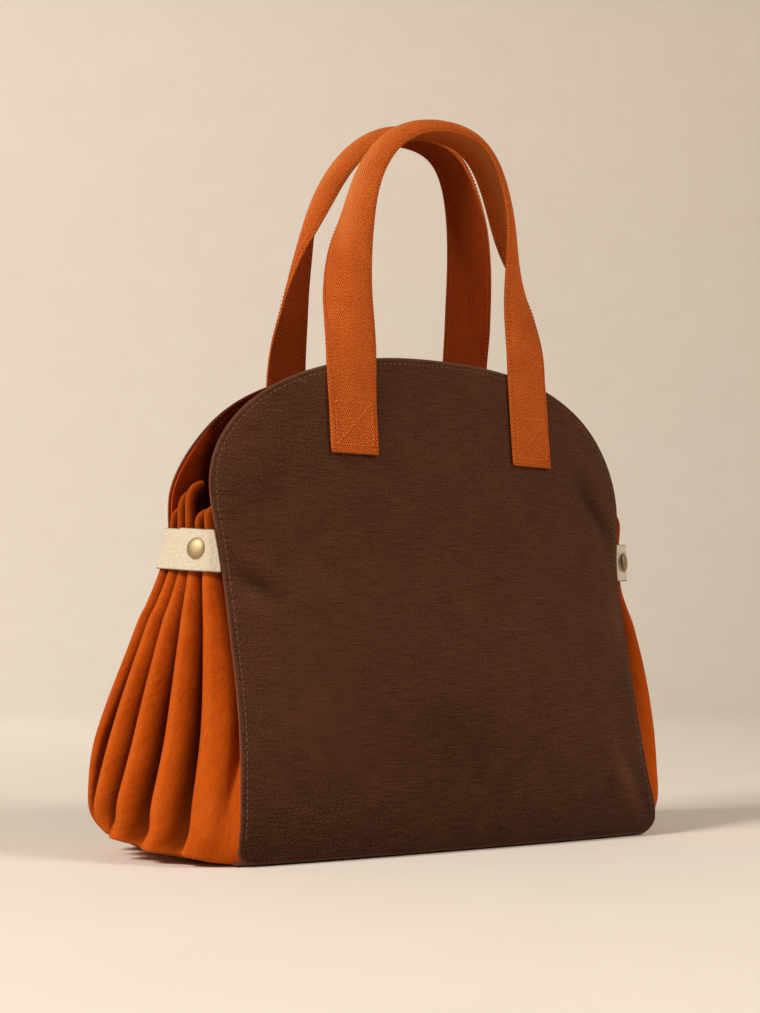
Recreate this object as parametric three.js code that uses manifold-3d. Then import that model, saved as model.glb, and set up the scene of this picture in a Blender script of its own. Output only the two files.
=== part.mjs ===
// Carryall: canvas panels with domed tops, pleated side gussets, snap tabs and webbing handles.
// Millimetres, +Z up, front towards -Y. The origin is the middle of the base, on the floor.

import * as THREE from 'three';
import { mergeVertices } from 'three/addons/utils/BufferGeometryUtils.js';
import Module from 'manifold-3d';

const wasm = await Module();
wasm.setup();

// Wall thicknesses and the gap kept between sewn pieces
const PANEL_THICKNESS = 3;
const LINING_THICKNESS = 1;
const GUSSET_THICKNESS = 1.4;
const TAB_THICKNESS = 1.8;
const STRAP_THICKNESS = 2.4;
const GAP = 0.4;

// Domed panels
const FRONT_HEIGHT = 350;
const BACK_HEIGHT = 343;
const SHOULDER_Z = 245;
const DOME_POWER = 2.3;
const BOW_POWER = 3;
const CORNER_RADIUS = 12;
const EDGE_ROUND = 1;
const PANEL_FOOT = 1.2;
const PANEL_COLUMNS = 16;
const PANEL_ROWS = 15;
const ROW_POWER = 1.5;
const RIM_ROW = 0.988;

// Base
const BASE_THICKNESS = 3;
const BASE_COLUMNS = 16;

// Pleated gussets, sewn in just behind the panels' side edges
const GUSSET_INSET = 1;
const SEWN_SHARE = 0.1;
const FOLD_COLUMNS = 6;
const GUSSET_STEPS = 15;

// Snap tabs
const TAB_LOW = 192;
const TAB_HIGH = 221;
const TAB_SWELL = { left: 15, right: 24 };
const TAB_ROUNDNESS = 0.8;
const TAB_FRONT_END = 0.7;
const TAB_BACK_START = 0.09;
const TAB_LAP_END = 0.07;
const TAB_COLUMNS = 12;
const TAB_STEPS = 2;
const SNAP_AT = 0.19;
const SNAP_Z = 208;
const SNAP_RADIUS = 7.5;
const SNAP_SEAT = 0.7;
const SNAP_RISE = 3.6;
const SNAP_RIM = 1.2;
const SNAP_RIM_STEP = 0.3;
const SNAP_RIM_WIDTH = 1;
const SNAP_DOME_INSET = 1.4;
const DOME_STEPS = 4;
const POST_RADIUS = 2.4;
const POST_HOLE_LENGTH = 20;
const SNAP_BACK_RADIUS = 5;
const SNAP_BACK_GAP = 1;
const SNAP_BACK_THICKNESS = 1.4;
const ROUND_SIDES = 12;

// Handles
const STRAP_WIDTH = 38;
const STRAP_END_Z = 278;
const ARCH_START_Z = 390;
const ARCH_FULLNESS = 0.61;
const RIM_Z = 345;
const FREE_RISE = 60;
const TURN_POWER = 1.1;
const GRIP_CUP = THREE.MathUtils.degToRad(145);
const LEAST_CUP = 0.001;
const FULL_CUP_CLIMB = 0.6;
const STRAP_COLUMNS = 4;
const STRAP_STEPS = 44;
const HANDLES = {
  front: { legs: [-78, 82], top: 535, sway: 16, inward: 17 },
  back: { legs: [-76, 86], top: 544, sway: 22, inward: 17 },
};

// Side view from the floor up: half the panels' width, where the middle of the front and back walls
// lies at the side edges, and how far the walls bow out between their edges
const SIDES = [
  { z: 0, half: 183, front: 75, frontBow: 6, back: 75, backBow: 6 },
  { z: 14, half: 182, front: 79.5, frontBow: 7, back: 80.5, backBow: 7 },
  { z: 50, half: 177.5, front: 74.5, frontBow: 10, back: 76, backBow: 10 },
  { z: 95, half: 174.5, front: 66.5, frontBow: 14, back: 65, backBow: 14 },
  { z: 150, half: 175, front: 55, frontBow: 18, back: 42, backBow: 19 },
  { z: 205, half: 177.5, front: 44.5, frontBow: 20, back: 26, backBow: 20 },
  { z: 245, half: 183, front: 40.5, frontBow: 21, back: 16, backBow: 21 },
  { z: 300, half: 183, front: 35, frontBow: 21, back: 0, backBow: 37 },
  { z: 352, half: 183, front: 29, frontBow: 23, back: 10, backBow: 24 },
];

// Gussets from the base's edge up: how far the left and right folds stand out, the folds' depth, and
// how far the tab has drawn them into its own round shape
const GUSSET_ROWS = [
  { z: 1.4, left: 0, right: 0, depth: 0, drawn: 0 },
  { z: 1.6, left: 15, right: 8, depth: 4, drawn: 0 },
  { z: 8, left: 31, right: 17, depth: 9, drawn: 0 },
  { z: 27, left: 43, right: 26, depth: 15, drawn: 0 },
  { z: 62, left: 49, right: 34, depth: 20, drawn: 0 },
  { z: 110, left: 45, right: 35, depth: 21, drawn: 0 },
  { z: 155, left: 31, right: 27, depth: 18, drawn: 0.3 },
  { z: 187, left: 15, right: 19, depth: 13, drawn: 0.8 },
  { z: 207, left: 10, right: 16, depth: 11, drawn: 1 },
  { z: 224, left: 7, right: 12, depth: 11, drawn: 1 },
  { z: 238, left: 5, right: 8, depth: 11, drawn: 1 },
];

// The left gusset's folds from front to back: reach as a share of the swell, and rise above the last row
const FOLDS = [
  { at: 0.1, reach: 0.45, rise: 3 },
  { at: 0.3, reach: 0.72, rise: 1 },
  { at: 0.5, reach: 0.9, rise: 14 },
  { at: 0.7, reach: 1, rise: 6 },
  { at: 0.9, reach: 0.88, rise: 1 },
];

const { clamp, smoothstep, lerp } = THREE.MathUtils;

// Smooth curve through one named column of a table
function curveOf(rows, along, name) {
  const places = rows.map((row) => row[along]);
  const values = rows.map((row) => row[name]);
  const curve = new THREE.CubicInterpolant(places, values, 1);
  return (at) => curve.evaluate(at)[0];
}

const halfAt = curveOf(SIDES, 'z', 'half');
const bowAt = { front: curveOf(SIDES, 'z', 'frontBow'), back: curveOf(SIDES, 'z', 'backBow') };
const edgeAt = { front: curveOf(SIDES, 'z', 'front'), back: curveOf(SIDES, 'z', 'back') };
const facing = { front: -1, back: 1 };

const spread = [{ at: 0, reach: 0, rise: 0 }, ...FOLDS, { at: 1, reach: 0, rise: 0 }];
const reachAt = curveOf(spread, 'at', 'reach');
const riseAt = curveOf(spread, 'at', 'rise');

// Closed wall of even thickness about the surface place(u, v), with u and v from 0 to 1
function sheet(columns, rows, thickness, place, roundEdge = 0) {
  const across = columns + 1;
  const count = across * (rows + 1);
  const step = 1e-3;
  const points = [];
  const normals = [];
  for (let j = 0; j <= rows; j += 1) {
    for (let i = 0; i <= columns; i += 1) {
      const u = i / columns;
      const v = j / rows;
      const du = place(Math.min(1, u + step), v).sub(place(Math.max(0, u - step), v));
      const dv = place(u, Math.min(1, v + step)).sub(place(u, Math.max(0, v - step)));
      points.push(place(u, v));
      normals.push(du.cross(dv).normalize());
    }
  }
  const positions = [];
  for (const side of [0.5, -0.5]) {
    points.forEach((point, k) => {
      positions.push(...point.clone().addScaledVector(normals[k], side * thickness).toArray());
    });
  }
  const index = [];
  for (let j = 0; j < rows; j += 1) {
    for (let i = 0; i < columns; i += 1) {
      const a = j * across + i;
      const b = a + 1;
      const c = b + across;
      const d = a + across;
      index.push(a, b, c, a, c, d);
      index.push(count + a, count + c, count + b, count + a, count + d, count + c);
    }
  }
  // The edge runs once round the sheet, and a rounded one has a ridge along its middle
  const ring = [];
  for (let i = 0; i < columns; i += 1) {
    ring.push(i);
  }
  for (let j = 0; j < rows; j += 1) {
    ring.push(j * across + columns);
  }
  for (let i = columns; i > 0; i -= 1) {
    ring.push(rows * across + i);
  }
  for (let j = rows; j > 0; j -= 1) {
    ring.push(j * across);
  }
  const ridge = 2 * count;
  ring.forEach((a, n) => {
    const next = (n + 1) % ring.length;
    const b = ring[next];
    if (roundEdge === 0) {
      index.push(a, count + a, b, b, count + a, count + b);
      return;
    }
    const before = points[ring[(n + ring.length - 1) % ring.length]];
    const outward = points[b].clone().sub(before).cross(normals[a]).normalize();
    positions.push(...points[a].clone().addScaledVector(outward, roundEdge).toArray());
    index.push(a, ridge + n, b, b, ridge + n, ridge + next);
    index.push(ridge + n, count + a, ridge + next, ridge + next, count + a, count + b);
  });
  const geometry = new THREE.BufferGeometry();
  geometry.setAttribute('position', new THREE.Float32BufferAttribute(positions, 3));
  geometry.setIndex(index);
  return geometry;
}

// Point on the middle of a panel's wall, moved out from the bag by a distance along its normal
function wallPoint(side, x, z, out = 0) {
  const away = (px, pz) => edgeAt[side](pz) + bowAt[side](pz) * (1 - Math.abs(px / halfAt(pz)) ** BOW_POWER);
  const slopeX = (away(x + 1, z) - away(x - 1, z)) / 2;
  const slopeZ = (away(x, z + 1) - away(x, z - 1)) / 2;
  const normal = new THREE.Vector3(-slopeX, facing[side], -slopeZ).normalize();
  return new THREE.Vector3(x, facing[side] * away(x, z), z).addScaledVector(normal, out);
}

// Panel outline: upright columns from a foot with rounded corners up to a domed rim. The rows crowd
// together near the foot, and the last but one lies just under the rim.
function panelPlace(side, out) {
  const top = side === 'front' ? FRONT_HEIGHT : BACK_HEIGHT;
  return (u, v) => {
    const turn = (u - 0.5) * Math.PI;
    const share = Math.sign(turn) * Math.abs(Math.sin(turn)) ** (2 / DOME_POWER);
    const rim = SHOULDER_Z + (top - SHOULDER_Z) * Math.abs(Math.cos(turn)) ** (2 / DOME_POWER);
    const intoCorner = Math.max(0, halfAt(0) * (Math.abs(share) - 1) + CORNER_RADIUS);
    const corner = CORNER_RADIUS - Math.sqrt(CORNER_RADIUS ** 2 - intoCorner ** 2);
    const step = v * PANEL_ROWS;
    const climb = (Math.min(step, PANEL_ROWS - 1) / (PANEL_ROWS - 1)) ** ROW_POWER;
    const up = lerp(RIM_ROW * climb, 1, Math.max(0, step - PANEL_ROWS + 1));
    const z = lerp(PANEL_FOOT + corner, rim, up);
    return wallPoint(side, share * halfAt(z), z, out);
  };
}

function panel(side) {
  return sheet(PANEL_COLUMNS, PANEL_ROWS, PANEL_THICKNESS, panelPlace(side, 0), EDGE_ROUND);
}

// The lining follows the panel's inside, one row and one column in from its edges
function lining(side) {
  const place = panelPlace(side, -PANEL_THICKNESS / 2 - GAP - LINING_THICKNESS / 2);
  const inset = (share, count) => (1 + share * (count - 2)) / count;
  const inside = (u, v) => place(inset(u, PANEL_COLUMNS), inset(v, PANEL_ROWS));
  return sheet(PANEL_COLUMNS - 2, PANEL_ROWS - 2, LINING_THICKNESS, inside);
}

// Flat base between the panels' feet
function basePanel() {
  const length = halfAt(0) - GUSSET_INSET - GUSSET_THICKNESS / 2 - GAP;
  const inset = PANEL_THICKNESS / 2 + GAP;
  const outline = new THREE.Shape();
  const points = [];
  for (const side of ['front', 'back']) {
    for (let i = 0; i <= BASE_COLUMNS; i += 1) {
      const x = facing[side] * length * (1 - (2 * i) / BASE_COLUMNS);
      const depth = edgeAt[side](0) - inset + bowAt[side](0) * (1 - Math.abs(x / halfAt(0)) ** BOW_POWER);
      points.push(new THREE.Vector2(x, facing[side] * depth));
    }
  }
  outline.setFromPoints(points);
  return new THREE.ExtrudeGeometry(outline, { depth: BASE_THICKNESS, bevelEnabled: false });
}

// Reach of a tab round the folds, from no reach at either seam
function roundReach(u) {
  return Math.sin(Math.PI * u) ** TAB_ROUNDNESS;
}

// The left folds lean back and the right ones lean forward, so the right side reads them in reverse
function alongFolds(side, u) {
  return side === 'left' ? u : 1 - u;
}

function outFrom(side, x) {
  return side === 'left' ? -x : x;
}

function gusset(side) {
  const rows = GUSSET_ROWS.map((row, n) => ({ ...row, n }));
  const last = rows.length - 1;
  const rowZ = curveOf(rows, 'n', 'z');
  const rowSwell = curveOf(rows, 'n', side);
  const rowDepth = curveOf(rows, 'n', 'depth');
  const rowDrawn = curveOf(rows, 'n', 'drawn');
  const behind = PANEL_THICKNESS / 2 + GAP + GUSSET_THICKNESS;
  const place = (u, v) => {
    const fold = alongFolds(side, u);
    const n = v * last;
    const z = rowZ(n) + riseAt(fold) * smoothstep(n, last - 2, last);
    const crest = (1 - Math.cos(2 * Math.PI * FOLDS.length * u)) / 2;
    const sewn = Math.min(1, u / SEWN_SHARE, (1 - u) / SEWN_SHARE);
    const swell = rowSwell(n) * lerp(reachAt(fold), roundReach(u), rowDrawn(n));
    const reach = swell - rowDepth(n) * (1 - crest) * sewn;
    const front = edgeAt.front(z) - behind;
    const back = edgeAt.back(z) - behind;
    return new THREE.Vector3(outFrom(side, halfAt(z) - GUSSET_INSET + reach), lerp(-front, back, u), z);
  };
  return sheet(FOLD_COLUMNS * FOLDS.length, GUSSET_STEPS, GUSSET_THICKNESS, place);
}

// Middle of a tab's tape: from the front seam (0) round the folds to the back seam (1)
function tabPoint(side, u, z, out) {
  const seam = EDGE_ROUND + GAP + TAB_THICKNESS / 2;
  const at = (w, h) => new THREE.Vector3(
    outFrom(side, halfAt(h) + seam + TAB_SWELL[side] * roundReach(w)),
    lerp(-edgeAt.front(h), edgeAt.back(h), w),
    h,
  );
  const step = 0.01;
  const along = at(Math.min(1, u + step), z).sub(at(Math.max(0, u - step), z));
  const up = at(u, z + 1).sub(at(u, z - 1));
  const normal = up.cross(along).normalize().multiplyScalar(side === 'left' ? 1 : -1);
  return at(u, z).addScaledVector(normal, out);
}

// Frame of the snap: on the tab's outer face, its axis pointing out
function snapPlace(side) {
  const lap = TAB_THICKNESS + GAP;
  const inner = tabPoint(side, SNAP_AT, SNAP_Z, 0);
  const outer = tabPoint(side, SNAP_AT, SNAP_Z, lap + TAB_THICKNESS / 2);
  const axis = outer.clone().sub(inner).normalize();
  const turn = new THREE.Quaternion().setFromUnitVectors(new THREE.Vector3(0, 1, 0), axis);
  return { origin: outer, turn };
}

function solid(geometry) {
  const bare = geometry.clone();
  bare.deleteAttribute('normal');
  bare.deleteAttribute('uv');
  const merged = mergeVertices(bare, 1e-4);
  const mesh = new wasm.Mesh({
    numProp: 3,
    vertProperties: new Float32Array(merged.attributes.position.array),
    triVerts: new Uint32Array(merged.index.array),
  });
  return new wasm.Manifold(mesh);
}

function subtract(geometry, tool) {
  const mesh = solid(geometry).subtract(solid(tool)).getMesh();
  const cut = new THREE.BufferGeometry();
  cut.setAttribute('position', new THREE.BufferAttribute(new Float32Array(mesh.vertProperties), 3));
  cut.setIndex(Array.from(mesh.triVerts));
  return cut;
}

// One half of a tab, with the hole for the snap's post
function tab(side, half) {
  const lap = TAB_THICKNESS + GAP;
  const place = (u, v) => {
    const z = lerp(TAB_LOW, TAB_HIGH, v);
    if (half === 'back') {
      return tabPoint(side, lerp(TAB_BACK_START, 1, u), z, 0);
    }
    const at = u * TAB_FRONT_END;
    return tabPoint(side, at, z, lap * smoothstep(at, 0, TAB_LAP_END));
  };
  const { origin, turn } = snapPlace(side);
  const holeRadius = POST_RADIUS + GAP;
  const hole = new THREE.CylinderGeometry(holeRadius, holeRadius, POST_HOLE_LENGTH, ROUND_SIDES);
  hole.applyQuaternion(turn).translate(origin.x, origin.y, origin.z);
  return subtract(sheet(TAB_COLUMNS, TAB_STEPS, TAB_THICKNESS, place), hole);
}

// Domed cap with a rim outside, a post through both halves and a disc inside
function snap() {
  const discTop = -2 * TAB_THICKNESS - GAP - SNAP_BACK_GAP;
  const discFoot = discTop - SNAP_BACK_THICKNESS;
  const rimTop = SNAP_SEAT + SNAP_RIM;
  const points = [
    new THREE.Vector2(0, discFoot),
    new THREE.Vector2(SNAP_BACK_RADIUS, discFoot),
    new THREE.Vector2(SNAP_BACK_RADIUS, discTop),
    new THREE.Vector2(POST_RADIUS, discTop),
    new THREE.Vector2(POST_RADIUS, SNAP_SEAT),
    new THREE.Vector2(SNAP_RADIUS, SNAP_SEAT),
    new THREE.Vector2(SNAP_RADIUS, rimTop),
    new THREE.Vector2(SNAP_RADIUS - SNAP_RIM_WIDTH, rimTop + SNAP_RIM_STEP),
  ];
  const domeRadius = SNAP_RADIUS - SNAP_DOME_INSET;
  for (let i = 0; i < DOME_STEPS; i += 1) {
    const turn = ((i / DOME_STEPS) * Math.PI) / 2;
    const height = rimTop + (SNAP_RISE - SNAP_RIM) * Math.sin(turn);
    points.push(new THREE.Vector2(domeRadius * Math.cos(turn), height));
  }
  points.push(new THREE.Vector2(0, SNAP_SEAT + SNAP_RISE));
  return new THREE.LatheGeometry(points, ROUND_SIDES);
}

// Webbing loop: sewn flat on the panel, turned edge-on and cupped towards the grip
function handle(side) {
  const { legs: [left, right], top, sway, inward } = HANDLES[side];
  const lift = (top - ARCH_START_Z) * ARCH_FULLNESS;
  const arch = new THREE.Path();
  arch.moveTo(left, STRAP_END_Z);
  arch.lineTo(left, ARCH_START_Z);
  arch.bezierCurveTo(left, ARCH_START_Z + lift, lerp(sway, left, ARCH_FULLNESS), top, sway, top);
  arch.bezierCurveTo(lerp(sway, right, ARCH_FULLNESS), top, right, ARCH_START_Z + lift, right, ARCH_START_Z);
  arch.lineTo(right, STRAP_END_Z);
  const standOff = PANEL_THICKNESS / 2 + 2 * GAP + STRAP_THICKNESS / 2;
  const rimY = wallPoint(side, right, RIM_Z, standOff).y;
  const place = (u, v) => {
    const { x, y: z } = arch.getPointAt(v);
    const tangent = arch.getTangentAt(v);
    const climb = clamp((z - RIM_Z) / (top - RIM_Z), 0, 1);
    const turn = (Math.PI / 2) * (1 - (1 - climb) ** TURN_POWER);
    const along = new THREE.Vector3(tangent.x, 0, tangent.y);
    const outward = new THREE.Vector3(-tangent.y, 0, tangent.x);
    const normal = outward.multiplyScalar(Math.sin(turn)).setY(facing[side] * Math.cos(turn));
    const across = along.cross(normal);
    const cup = Math.max(LEAST_CUP, GRIP_CUP * smoothstep(climb, 0, FULL_CUP_CLIMB));
    const radius = STRAP_WIDTH / cup;
    const angle = (u - 0.5) * cup;
    const free = new THREE.Vector3(x, rimY - facing[side] * inward * climb, z);
    free.addScaledVector(across, radius * Math.sin(angle));
    free.addScaledVector(normal, radius * (Math.cos(angle) - 1));
    const offset = (u - 0.5) * STRAP_WIDTH * Math.sign(across.x);
    const sewn = wallPoint(side, x + offset, Math.min(z, RIM_Z), standOff).setZ(z);
    return sewn.lerp(free, smoothstep(z, RIM_Z, RIM_Z + FREE_RISE));
  };
  return sheet(STRAP_COLUMNS, STRAP_STEPS, STRAP_THICKNESS, place);
}

const canvas = { color: 0x53372a, roughness: 0.9 };
const cloth = { color: 0xb5521c, roughness: 0.85 };
const tape = { color: 0xe0d6c0, roughness: 0.7 };
const brass = { color: 0x9c8a5c, roughness: 0.35, metalness: 0.9 };

const carryall = new THREE.Group();

function add(name, geometry, look) {
  const mesh = new THREE.Mesh(geometry, new THREE.MeshStandardMaterial(look));
  mesh.name = name;
  carryall.add(mesh);
  return mesh;
}

add('base_panel', basePanel(), canvas);
for (const side of ['front', 'back']) {
  add(`${side}_panel`, panel(side), canvas);
  add(`${side}_lining`, lining(side), cloth);
  add(`${side}_handle`, handle(side), cloth);
}
for (const side of ['left', 'right']) {
  add(`${side}_gusset`, gusset(side), cloth);
  add(`${side}_tab_front`, tab(side, 'front'), tape);
  add(`${side}_tab_back`, tab(side, 'back'), tape);
  const fastener = add(`${side}_snap`, snap(), brass);
  const { origin, turn } = snapPlace(side);
  fastener.position.copy(origin);
  fastener.quaternion.copy(turn);
}

export default carryall;
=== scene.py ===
import math

import bpy
import numpy as np
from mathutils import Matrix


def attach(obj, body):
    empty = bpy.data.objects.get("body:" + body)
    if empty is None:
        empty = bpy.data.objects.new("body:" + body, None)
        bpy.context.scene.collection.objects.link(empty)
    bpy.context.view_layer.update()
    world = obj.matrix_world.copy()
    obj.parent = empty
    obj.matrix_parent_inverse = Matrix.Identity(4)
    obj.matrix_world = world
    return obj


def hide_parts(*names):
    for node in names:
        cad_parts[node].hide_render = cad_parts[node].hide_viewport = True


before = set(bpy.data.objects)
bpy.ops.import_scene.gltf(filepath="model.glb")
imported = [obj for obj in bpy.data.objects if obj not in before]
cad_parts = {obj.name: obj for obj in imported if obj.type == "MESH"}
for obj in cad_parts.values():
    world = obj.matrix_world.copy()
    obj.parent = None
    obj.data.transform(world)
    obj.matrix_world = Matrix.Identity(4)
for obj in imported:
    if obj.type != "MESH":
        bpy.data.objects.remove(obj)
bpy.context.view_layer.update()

# Camera: stands low in front of the bag's left corner and looks slightly up, as a product
# photographer would set it, so that the front, the left folds and both handles show.
CAMERA_LENS = 62.2
CAMERA_SPOT = (-0.7598, -1.0701, 0.1423)
CAMERA_UPWARD = 4.58
CAMERA_HEADING = -34.8

camera_lens = bpy.data.cameras.new("camera")
camera_lens.lens = CAMERA_LENS
camera = bpy.data.objects.new("camera", camera_lens)
camera.location = CAMERA_SPOT
camera.rotation_euler = (math.radians(90 + CAMERA_UPWARD), 0, math.radians(CAMERA_HEADING))
bpy.context.scene.collection.objects.link(camera)
bpy.context.scene.camera = camera
bpy.context.scene.view_settings.view_transform = "Standard"


# Studio: a pale floor that sweeps up into a wall on every side, lit by a large warm lamp from the
# upper left, a weak one from the right, one on the wall behind and a soft glow all round.
class Dye:
    """One output of a finish's nodes. Sums with it add Math nodes to the same finish."""

    def __init__(self, tree, socket):
        self.tree = tree
        self.socket = socket

    def node(self, kind, settings, sockets, output=0):
        made = self.tree.nodes.new(kind)
        for name, value in settings.items():
            setattr(made, name, value)
        for name, value in sockets.items():
            if isinstance(value, Dye):
                self.tree.links.new(value.socket, made.inputs[name])
            else:
                made.inputs[name].default_value = value
        return Dye(self.tree, made.outputs[output])

    def math(self, operation, *values):
        return self.node("ShaderNodeMath", {"operation": operation}, dict(enumerate(values)))

    def __add__(self, other):
        return self.math("ADD", self, other)

    __radd__ = __add__

    def __sub__(self, other):
        return self.math("SUBTRACT", self, other)

    def __rsub__(self, other):
        return self.math("SUBTRACT", other, self)

    def __mul__(self, other):
        return self.math("MULTIPLY", self, other)

    __rmul__ = __mul__

    def __truediv__(self, other):
        return self.math("DIVIDE", self, other)

    def __pow__(self, other):
        return self.math("POWER", self, other)

    def part(self, axis):
        return self.node("ShaderNodeSeparateXYZ", {}, {"Vector": self}, axis)

    def wave(self, pitch):
        return self.math("SINE", self * (2 * math.pi / pitch))

    def rise(self, low, high):
        settings = {"interpolation_type": "SMOOTHSTEP"}
        sockets = {"Value": self, "From Min": low, "From Max": high}
        return self.node("ShaderNodeMapRange", settings, sockets)

    def noise(self, scale, detail=2.0, stretch=(1, 1, 1)):
        sized = self.node("ShaderNodeVectorMath", {"operation": "MULTIPLY"}, {0: self, 1: stretch})
        return self.node("ShaderNodeTexNoise", {}, {"Vector": sized, "Scale": scale, "Detail": detail})

    def between(self, first, second):
        settings = {"data_type": "RGBA", "clamp_factor": True}
        return self.node("ShaderNodeMix", settings, {"Factor": self, 6: first, 7: second}, 2)

    def bump(self):
        return self.node("ShaderNodeBump", {}, {"Height": self, "Strength": 1.0, "Distance": 1.0})


def new_finish(name, **constants):
    """A material, its Principled shader with the values that are the same all over, and a first Dye."""
    material = bpy.data.materials.new(name)
    material.use_nodes = True
    shader = material.node_tree.nodes["Principled BSDF"]
    for socket, value in constants.items():
        shader.inputs[socket.replace("_", " ")].default_value = value
    place = Dye(material.node_tree, None).node("ShaderNodeTexCoord", {}, {}, "Object")
    return material, shader, place


def cloth_finish(name, **constants):
    """A finish for cloth, with the place on the flat cloth and the marks its pieces carry."""
    material, shader, place = new_finish(name, **constants)
    flat_cloth = place.node("ShaderNodeUVMap", {"uv_map": "weave"}, {})

    def mark(mark_name):
        return place.node("ShaderNodeAttribute", {"attribute_name": mark_name}, {}, "Fac")

    return material, shader, flat_cloth, mark


def dress(shader, **links):
    """Feeds what changes over a finish's surface into its shader."""
    for name, value in links.items():
        value.tree.links.new(value.socket, shader.inputs[name.replace("_", " ")])


def tint(red, green, blue):
    """Screen colour from 0 to 255 as the shader's linear colour."""
    share = np.array([red, green, blue]) / 255
    linear = np.where(share <= 0.04045, share / 12.92, ((share + 0.055) / 1.055) ** 2.4)
    return (*linear.tolist(), 1.0)


FLOOR_DROP = 0.0006
FLOOR_RADIUS = 2.6
SWEEP_RADIUS = 2.2
SWEEP_SIDES = 64
SWEEP_STEPS = 12
WALL_HEIGHT = 4.0
FLOOR_SHADE = tint(228, 218, 205)
FLOOR_PALE = tint(234, 225, 213)
GLOW_COLOUR = (1.0, 0.93, 0.84, 1.0)
GLOW_STRENGTH = 0.12

profile = [(0.0, 0.0), (FLOOR_RADIUS / 2, 0.0)]
for step in range(SWEEP_STEPS + 1):
    angle = step / SWEEP_STEPS * math.pi / 2
    profile.append((
        FLOOR_RADIUS + SWEEP_RADIUS * math.sin(angle),
        SWEEP_RADIUS * (1 - math.cos(angle)),
    ))
profile.append((FLOOR_RADIUS + SWEEP_RADIUS, WALL_HEIGHT))
ring = [2 * math.pi * side / SWEEP_SIDES for side in range(SWEEP_SIDES)]
points = [
    (out * math.cos(turn), out * math.sin(turn), high - FLOOR_DROP)
    for out, high in profile
    for turn in ring
]
faces = [
    (a * SWEEP_SIDES + b, a * SWEEP_SIDES + (b + 1) % SWEEP_SIDES,
     (a + 1) * SWEEP_SIDES + (b + 1) % SWEEP_SIDES, (a + 1) * SWEEP_SIDES + b)
    for a in range(len(profile) - 1)
    for b in range(SWEEP_SIDES)
]
floor_mesh = bpy.data.meshes.new("studio_floor")
floor_mesh.from_pydata(points, [], faces)
floor_mesh.polygons.foreach_set("use_smooth", [True] * len(faces))
floor = bpy.data.objects.new("studio_floor", floor_mesh)
bpy.context.scene.collection.objects.link(floor)
floor_finish, floor_shader, place = new_finish("pale_floor", Roughness=0.85)
grain = place.noise(9.0, 4.0)
dress(floor_shader, Base_Color=grain.between(FLOOR_SHADE, FLOOR_PALE))
floor_mesh.materials.append(floor_finish)

LAMPS = [
    # name, where it stands, where it points, width, watts, colour
    ("key_lamp", (-2.5, -0.2, 1.9), (0.0, 0.0, 0.25), 0.8, 88.0, (1.0, 0.94, 0.86)),
    ("front_lamp", (1.0, -1.7, 1.7), (0.0, 0.0, 0.30), 0.8, 28.0, (1.0, 0.95, 0.90)),
    ("wall_lamp", (-0.4, 1.6, 2.6), (1.0, 4.7, 1.2), 1.6, 66.0, (1.0, 0.96, 0.91)),
]
for name, spot, target, width, watts, colour in LAMPS:
    lamp = bpy.data.lights.new(name, "AREA")
    lamp.size = width
    lamp.energy = watts
    lamp.color = colour
    stand = bpy.data.objects.new(name, lamp)
    stand.location = spot
    aim = np.array(target) - np.array(spot)
    level = math.hypot(aim[0], aim[1])
    stand.rotation_euler = (math.atan2(level, -aim[2]), 0, math.atan2(-aim[0], aim[1]))
    bpy.context.scene.collection.objects.link(stand)
glow = bpy.data.worlds.new("soft_glow")
glow.use_nodes = True
backdrop = glow.node_tree.nodes["Background"]
backdrop.inputs["Color"].default_value = GLOW_COLOUR
backdrop.inputs["Strength"].default_value = GLOW_STRENGTH
bpy.context.scene.world = glow


# Canvas panels: two domed walls of brown twill canvas, doubled over a stiffener with the edge
# turned in, bowed out a little by what the bag holds and rolled under at the foot.
def curve_through(places, values):
    """Smooth line through a few chosen points."""
    places = np.array(places, float)
    values = np.array(values, float)
    secants = np.diff(values) / np.diff(places)
    slopes = np.concatenate([secants[:1], (secants[:-1] + secants[1:]) / 2, secants[-1:]])

    def at(place):
        place = np.clip(place, places[0], places[-1])
        k = np.clip(np.searchsorted(places, place) - 1, 0, len(secants) - 1)
        span = places[k + 1] - places[k]
        t = (place - places[k]) / span
        start = (1 + 2 * t) * (1 - t) ** 2 * values[k] + t * (1 - t) ** 2 * span * slopes[k]
        end = t ** 2 * (3 - 2 * t) * values[k + 1] - t ** 2 * (1 - t) * span * slopes[k + 1]
        return start + end

    return at


def ease(value, low, high):
    """0 below low, 1 above high and a smooth rise between them."""
    t = np.clip((value - low) / (high - low), 0, 1)
    return t * t * (3 - 2 * t)


def unit(vectors):
    return vectors / np.maximum(np.linalg.norm(vectors, axis=-1, keepdims=True), 1e-12)


def add_piece(name, points, faces, weave=None, marks=None):
    """Smooth mesh piece. weave is each point's place on the flat cloth, in metres."""
    mesh = bpy.data.meshes.new(name)
    mesh.from_pydata(np.asarray(points).tolist(), [], [tuple(face) for face in faces])
    mesh.polygons.foreach_set("use_smooth", [True] * len(mesh.polygons))
    if weave is not None:
        corners = np.empty(len(mesh.loops), int)
        mesh.loops.foreach_get("vertex_index", corners)
        mesh.uv_layers.new(name="weave").uv.foreach_set("vector", np.asarray(weave)[corners].ravel())
    for mark, values in (marks or {}).items():
        mesh.attributes.new(mark, "FLOAT", "POINT").data.foreach_set("value", np.asarray(values, float))
    piece = bpy.data.objects.new(name, mesh)
    bpy.context.scene.collection.objects.link(piece)
    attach(piece, "root")
    return piece


def grid_normals(grid):
    along = np.gradient(grid, axis=1)
    up = np.gradient(grid, axis=0)
    return unit(np.cross(along, up))


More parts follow.
